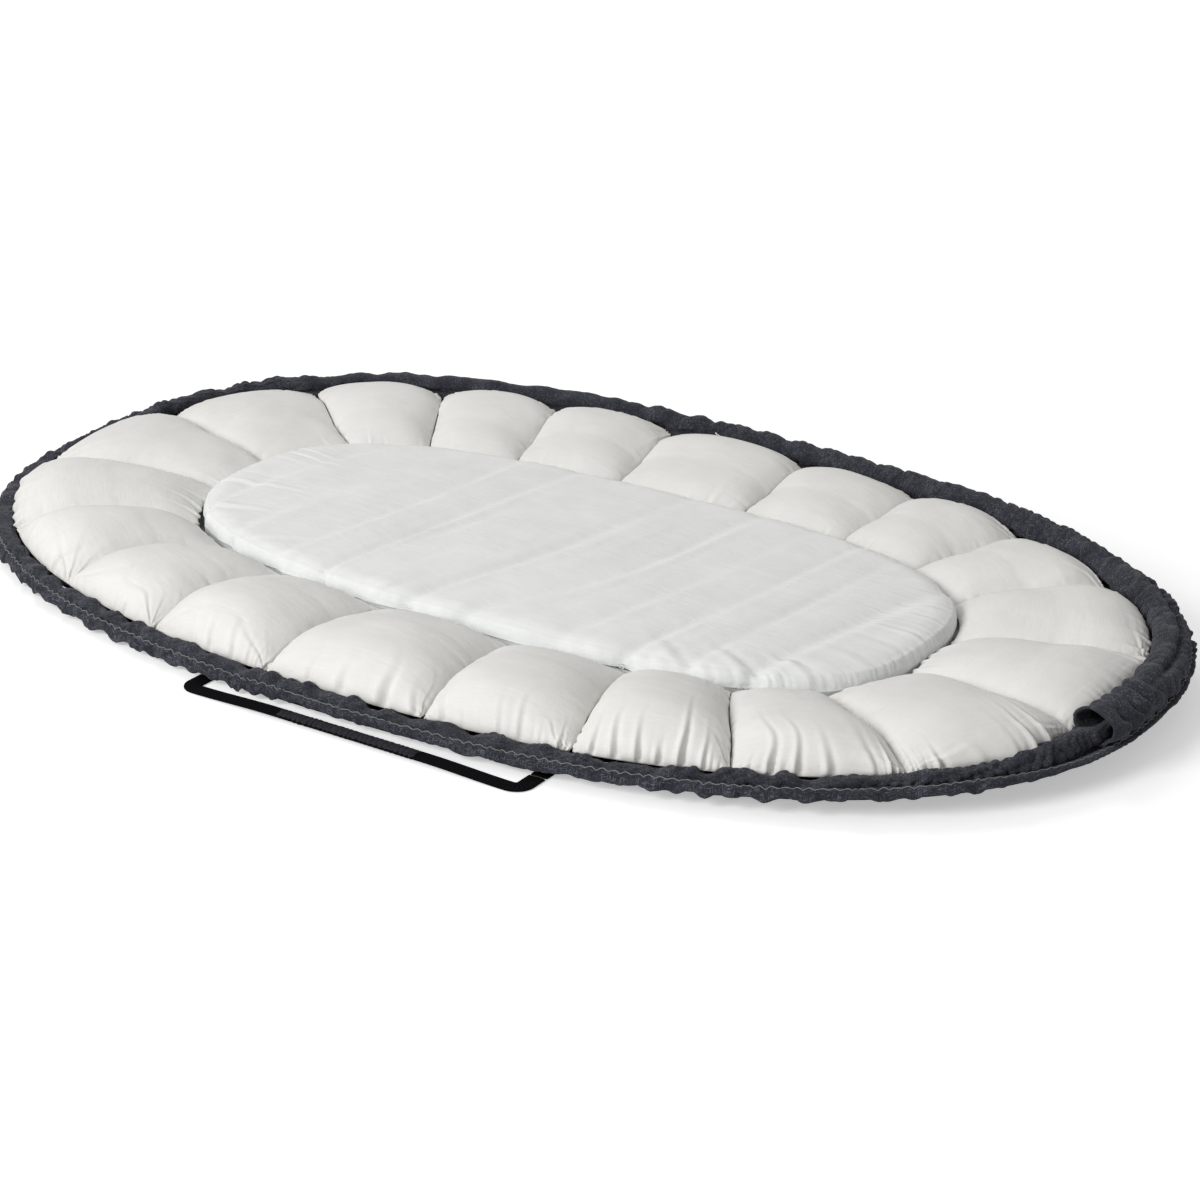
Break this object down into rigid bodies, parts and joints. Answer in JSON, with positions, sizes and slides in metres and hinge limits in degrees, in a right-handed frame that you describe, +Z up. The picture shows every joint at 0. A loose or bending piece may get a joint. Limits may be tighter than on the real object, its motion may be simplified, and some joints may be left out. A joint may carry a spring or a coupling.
{
  "type": "infant lounger",
  "caption": "Oval infant lounger laid flat: a ring of stuffed bolsters round a loose pad, in a shell with a gathered elastic rim and webbing handles.",
  "frame": {"origin": "on the floor, under the middle of the lounger", "axes": "+X along the length, towards the end where the rim's casing opens; +Y across, from the side with the low rim to the side with the raised rim; +Z up"},
  "size_m": [1.0492, 0.6984, 0.0589],
  "materials": {
    "charcoal_cloth": "matt melange weave",
    "white_cotton": "matt plain-weave cotton",
    "lining_cloth": "matt plain-weave cotton",
    "foam": "open-cell foam",
    "black_webbing": "woven webbing",
    "gathered_webbing": "gathered elastic webbing",
    "elastic_cord": "covered elastic"
  },
  "bodies": {
    "mat": {"base_shell": "charcoal_cloth", "base_lining": "lining_cloth", "bolster_01": "white_cotton", "bolster_02": "white_cotton", "bolster_03": "white_cotton", "bolster_04": "white_cotton", "bolster_05": "white_cotton", "bolster_06": "white_cotton", "bolster_07": "white_cotton", "bolster_08": "white_cotton", "bolster_09": "white_cotton", "bolster_10": "white_cotton", "bolster_11": "white_cotton", "bolster_12": "white_cotton", "bolster_13": "white_cotton", "bolster_14": "white_cotton", "bolster_15": "white_cotton", "bolster_16": "white_cotton", "bolster_17": "white_cotton", "bolster_18": "white_cotton", "bolster_19": "white_cotton", "bolster_20": "white_cotton", "rim_casing": "charcoal_cloth", "rim_header": "charcoal_cloth", "gathering_elastic": "elastic_cord", "cross_strap_left": "black_webbing", "cross_strap_right": "black_webbing"},
    "pad": {"pad_cover": "white_cotton", "pad_core": "foam"},
    "front_handle": {"front_handle_webbing": "black_webbing", "front_handle_grip": "gathered_webbing"},
    "back_handle": {"back_handle_webbing": "black_webbing", "back_handle_grip": "gathered_webbing"}
  },
  "joints": [
    {"name": "pad_lift", "type": "slide", "parent": "mat", "child": "pad", "axis": [0, 0, 1], "range_m": [0, 0.15]},
    {"name": "front_handle_swing", "type": "hinge", "parent": "mat", "child": "front_handle", "pos_m": [0, -0.3336, 0.0011], "axis": [-1, 0, 0], "range_deg": [0, 55]},
    {"name": "back_handle_swing", "type": "hinge", "parent": "mat", "child": "back_handle", "pos_m": [0, 0.3336, 0.0011], "axis": [1, 0, 0], "range_deg": [0, 90]}
  ]
}
